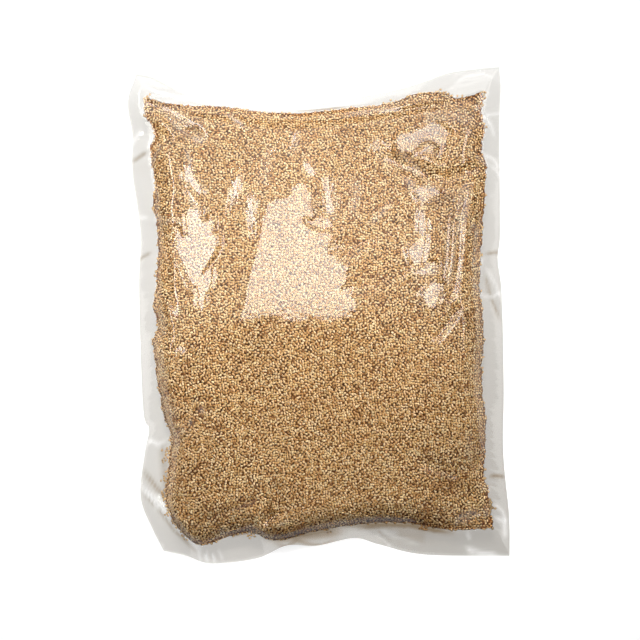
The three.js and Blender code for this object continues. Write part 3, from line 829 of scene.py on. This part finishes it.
# What each kind of film lets through: plain, heat-sealed, under painted shade, and under a painted veil.
CLEAR = (0.985, 0.983, 0.975, 1)
SEALED = (0.75, 0.736, 0.714, 1)
PAINTED_SHADE_PASSED = (0.56, 0.49, 0.40, 1)
PAINTED_VEIL_PASSED = (1, 1, 1, 1)
FLANGE_STEPS = 9
FAN = 0.035  # share of a side over which the margin fans out round a corner
GRAIN = 0.035  # how far the seeds' grain stands out in the film


def margin_plan(u, v, out_x, out_y):
    """Where the film lies seen from above, on the filling and out to its edge."""
    seeds = ragged(spanned(fill_sides, u, v), u, v)
    side_x, side_y = np.round(u), np.round(v)
    edge_u = np.clip(FAN + (1 - 2 * FAN) * u + np.sign(u - 0.5) * FAN * out_x, 0, 1)
    edge_v = np.clip(FAN + (1 - 2 * FAN) * v + np.sign(v - 0.5) * FAN * out_y, 0, 1)
    edge = spanned(film_sides, np.where(out_x > 0, side_x, edge_u), np.where(out_y > 0, side_y, edge_v))
    along_x = spanned(film_sides, side_x, np.where(v < 0.5, FAN, 1 - FAN))
    along_y = spanned(film_sides, np.where(u < 0.5, FAN, 1 - FAN), side_y)
    a, b = out_x[..., None], out_y[..., None]
    near_side = seeds * (1 - a) + along_x * a
    far_side = along_y * (1 - a) + edge * a
    corner = near_side * (1 - b) + far_side * b
    out = np.maximum(a, b)
    return np.where((a > 0) & (b > 0), corner, seeds * (1 - out) + edge * out)


def along_lines(x, y, lines):
    """The creases or streaks of a list, added up."""
    return sum(fold_height(x, y, path, rise, width) for path, rise, width in lines)


def graded(corners, u, v):
    """A value given at the bottom and top corners, left and right, and spread evenly between them."""
    bottom, top = (corners[end][0] * (1 - u) + corners[end][1] * u for end in ("bottom", "top"))
    return bottom * (1 - v) + top * v


def on_seam(u, v):
    return np.minimum(np.minimum(u, 1 - u), np.minimum(v, 1 - v)) == 0


def margin_height(x, y, u, v, out):
    """The middle of the margin: level at the seam, sinking to the rim, with wrinkles across it."""
    from_corner = np.minimum(1, 4 * np.maximum(np.minimum(u, 1 - u), np.minimum(v, 1 - v)))
    rim = np.maximum(RIM_LOWEST, graded(RIM_HEIGHT, u, v) - RIM_SAG * from_corner)
    round_it = 0.8 * x + y
    ripple = sum(np.sin(math.tau * round_it / length) for length in RIPPLE_LENGTHS)
    wrinkle = RIPPLE_HEIGHT * ripple * out * (1.3 - out) * 1.2
    share = out**1.4
    height = seam_height(y) * (1 - share) + rim * share + wrinkle
    return np.maximum(RIM_LOWEST, height + np.where(out > 0, along_lines(x, y, CREASES), 0))


def film_plan(step):
    """The grid of the filling and the margin: x, y, the shares, how far out, and the margin's height."""
    def lines(length):
        inner = graded_shares(length, step)
        out = np.arange(FLANGE_STEPS, 0, -1) / FLANGE_STEPS
        ends = np.zeros(FLANGE_STEPS)
        return np.concatenate([ends, inner, ends + 1]), np.concatenate([out, 0 * inner, out[::-1]])

    u_line, out_x_line = lines(2 * HALF_WIDTH)
    v_line, out_y_line = lines(2 * HALF_LENGTH)
    u, v = np.meshgrid(u_line, v_line)
    out_x, out_y = np.meshgrid(out_x_line, out_y_line)
    plan = margin_plan(u, v, out_x, out_y)
    x, y = plan[..., 0], plan[..., 1]
    out = np.maximum(out_x, out_y)
    return x, y, u, v, out, margin_height(x, y, u, v, out)


def film_surface(step):
    """The whole film as one closed skin: corners, faces, how grey it is at each corner (the seal's own grey,
    and painted shade towards the bottom right), and its painted light and shade at each corner.
    """
    x, y, u, v, out, middle = film_plan(step)
    lift = risen(u, v, shoulder, SHOULDER)
    grain = np.random.default_rng(3).uniform(-GRAIN, GRAIN, x.shape) * lift
    half_gap = SHEET_GAP / 2 + (SEAM_GAP - SHEET_GAP) / 2 * np.exp(-((3 * out) ** 2) - 12 * lift)
    front = np.where(out > 0, middle, front_height(x, y, u, v) + grain) + half_gap
    lowered = back_height(y, u, v) - half_gap * (1 - risen(u, v, heel, HEEL))
    back = np.where(out > 0, middle - half_gap, lowered)
    rows, columns = u.shape
    count = rows * columns
    corners = np.concatenate([np.stack([x, y, z], axis=-1).reshape(-1, 3) for z in (front, back)])
    faces = grid_faces(rows, columns)
    # The level back, inside its rounded heel, is one face.
    level = int(np.searchsorted(u[0] * 2 * HALF_WIDTH, HEEL * 1.2, side="right"))
    at = count + np.arange(count).reshape(rows, columns)
    for row in range(rows - 1):
        for column in range(columns - 1):
            if level <= row < rows - 1 - level and level <= column < columns - 1 - level:
                continue
            faces.append([at[row, column], at[row + 1, column], at[row + 1, column + 1], at[row, column + 1]])

    def ring(first):
        last_row, last_column = rows - 1 - first, columns - 1 - first
        bottom = [(first, c) for c in range(first, last_column)]
        right = [(r, last_column) for r in range(first, last_row)]
        top = [(last_row, c) for c in range(last_column, first, -1)]
        left = [(r, first) for r in range(last_row, first, -1)]
        return bottom + right + top + left

    faces.append([at[place] for place in reversed(ring(level))])
    rim = ring(0)
    for here, there in zip(rim, rim[1:] + rim[:1]):
        faces.append([at[here], at[there], at[there] - count, at[here] - count])
    used, compact = np.unique(np.concatenate([np.ravel(f) for f in faces]), return_inverse=True)
    sizes = np.cumsum([len(f) for f in faces])[:-1]
    # Painted light and shade: pale veils and glints as painted reflections, dark lines as painted shade, from
    # the streaks and from the margin's creases.
    painted_light_and_shade = along_lines(x, y, PAINTED_VEILS_AND_SHADES) + np.where(out > 0, CREASE_PAINTED_LIGHT * along_lines(x, y, CREASES), 0)
    # The margin's grey: the seal's own grey, with painted shade darker towards the bottom right.
    grey = on_seam(u, v) * graded(MARGIN_GREY_AND_SHADE, u, v)
    grey, painted_light_and_shade = (np.tile(value.ravel(), 2)[used] for value in (grey, np.clip(painted_light_and_shade, -1, 1)))
    faces = [part.tolist() for part in np.split(compact, sizes)]
    return corners[used] - np.array([*CENTRE, 0]), faces, grey, painted_light_and_shade


clear_film, tree, output = new_material("clear_film")
facing = add_node(tree, "ShaderNodeLayerWeight").outputs["Facing"]
gloss = arithmetic(tree, "MULTIPLY_ADD", arithmetic(tree, "POWER", facing, 5.0), GRAZING_GLOSS, GLOSS)
# The sealed attribute is the margin's grey: its seal, and painted shade towards the bottom right.
sealed, painted_light_and_shade = (
    add_node(tree, "ShaderNodeAttribute", attribute_name=name).outputs["Fac"] for name in ("sealed", "painted_light_and_shade")
)
shade = arithmetic(tree, "MULTIPLY", painted_light_and_shade, -1.0, use_clamp=True)
painted_veil = arithmetic(tree, "MULTIPLY", painted_light_and_shade, VEIL_STRENGTH, use_clamp=True)
passed = CLEAR
for amount, colour in ((sealed, SEALED), (shade, PAINTED_SHADE_PASSED), (painted_veil, PAINTED_VEIL_PASSED)):
    passed = add_node(tree, "ShaderNodeMix", {
        "Factor": amount, "A": passed, "B": colour,
    }, data_type="RGBA").outputs["Result"]
# Under a painted veil the film is milky over the seeds. In the margin the veil only makes it look whiter.
over_seeds = add_node(tree, "ShaderNodeMapRange", {
    "Value": sealed, "From Max": 0.1, "To Min": VEIL_MILKINESS, "To Max": 0,
}).outputs["Result"]
haze_and_veil = arithmetic(tree, "MULTIPLY_ADD", painted_veil, over_seeds, HAZE)
clear = add_node(tree, "ShaderNodeBsdfTransparent", {"Color": passed})
haze = add_node(tree, "ShaderNodeBsdfDiffuse", {"Color": (0.95, 0.86, 0.76, 1)})
frost = add_node(tree, "ShaderNodeBsdfAnisotropic", {"Color": (1, 0.97, 0.93, 1), "Roughness": 0.45})
milk = add_node(tree, "ShaderNodeMixShader", {"Fac": 0.45, 1: haze.outputs[0], 2: frost.outputs[0]})
body = add_node(tree, "ShaderNodeMixShader", {"Fac": haze_and_veil, 1: clear.outputs[0], 2: milk.outputs[0]})
shine = add_node(tree, "ShaderNodeBsdfAnisotropic", {"Color": (1, 1, 1, 1), "Roughness": 0.12})
tree.links.new(add_node(tree, "ShaderNodeMixShader", {
    "Fac": gloss, 1: body.outputs[0], 2: shine.outputs[0],
}).outputs[0], output.inputs["Surface"])

film_corners, film_faces, film_seal_grey_and_shade, film_light_and_shade = film_surface(step=1.3)
film = mesh_object("film", film_corners, film_faces, clear_film)
film.data.attributes.new("sealed", "FLOAT", "POINT").data.foreach_set("value", film_seal_grey_and_shade.astype(np.float32))
film.data.attributes.new("painted_light_and_shade", "FLOAT", "POINT").data.foreach_set("value", film_light_and_shade.astype(np.float32))
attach(film, "root")
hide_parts("seed_pouch")

# ---- The strays: seeds caught between the sheets ----
# As the air is drawn out some seeds are carried past the seam. They stay between the two sheets as a broken
# fringe, widest at the bottom left corner. They are of the same batch and lie flat.
STRAY_SPACING = 2.3
STRAY_REACH = 0.32  # how far they go, as a share of the margin's width
BED_REACH = STRAY_REACH + 0.12  # how far the bed on which they are spread goes
SEAM_STRAYS = 0.3  # how thickly they lie right beside the seam, all round
STRAY_PLACES = [  # where they gather, and how widely
    (-119, -114, 5), (-122, -121, 4), (-121, -136, 5), (-121, -148, 4), (-117, -163, 5), (-104, -180, 6),
    (-138, 174, 3), (136, 176, 3), (139, -158, 5), (60, 170, 4), (100, 178, 4), (-52, -182, 4), (10, -179, 4),
    (84, -175, 4),
]


def stray_bed():
    """The middle of the margin beside the seam, and how thickly strays lie on it."""
    x, y, u, v, out, middle = film_plan(step=2.0)
    rows, columns = x.shape
    near = on_seam(u, v) & (out < BED_REACH)
    faces = [f for f in grid_faces(rows, columns) if near.ravel()[f].all()]
    gathered = [np.exp(-((x - px) ** 2 + (y - py) ** 2) / reach**2) for px, py, reach in STRAY_PLACES]
    thick = np.clip(1.5 * np.max(gathered, axis=0) - out / STRAY_REACH, 0, 1)
    thick = thick + np.where(out < 0.1, SEAM_STRAYS, 0)
    used, compact = np.unique(faces, return_inverse=True)
    corners = np.stack([x, y, middle], axis=-1).reshape(-1, 3)[used] - np.array([*CENTRE, 0])
    return corners, compact.reshape(-1, 4).tolist(), thick.ravel()[used]


bed_corners, bed_faces, thickness = stray_bed()
bed = mesh_object("stray_bed", bed_corners, bed_faces)
bed.data.attributes.new("coverage", "FLOAT", "POINT").data.foreach_set("value", thickness.astype(np.float32))
strays = applied(bed, "stray_seeds", spread_seeds, {
    "Spacing": STRAY_SPACING * MM, "From Share": 0.0, "To Share": 1.0, "Lean": 0.15, "Drop": 0.0,
    "Sink": 0.1 * MM, "Random Seed": 9, "Chart Side": 32, "Seed": one_seed,
    "Material": bpy.data.materials["straw_hull"],
})
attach(strays, "root")
for helper in (bed, one_seed):
    bpy.data.objects.remove(helper)
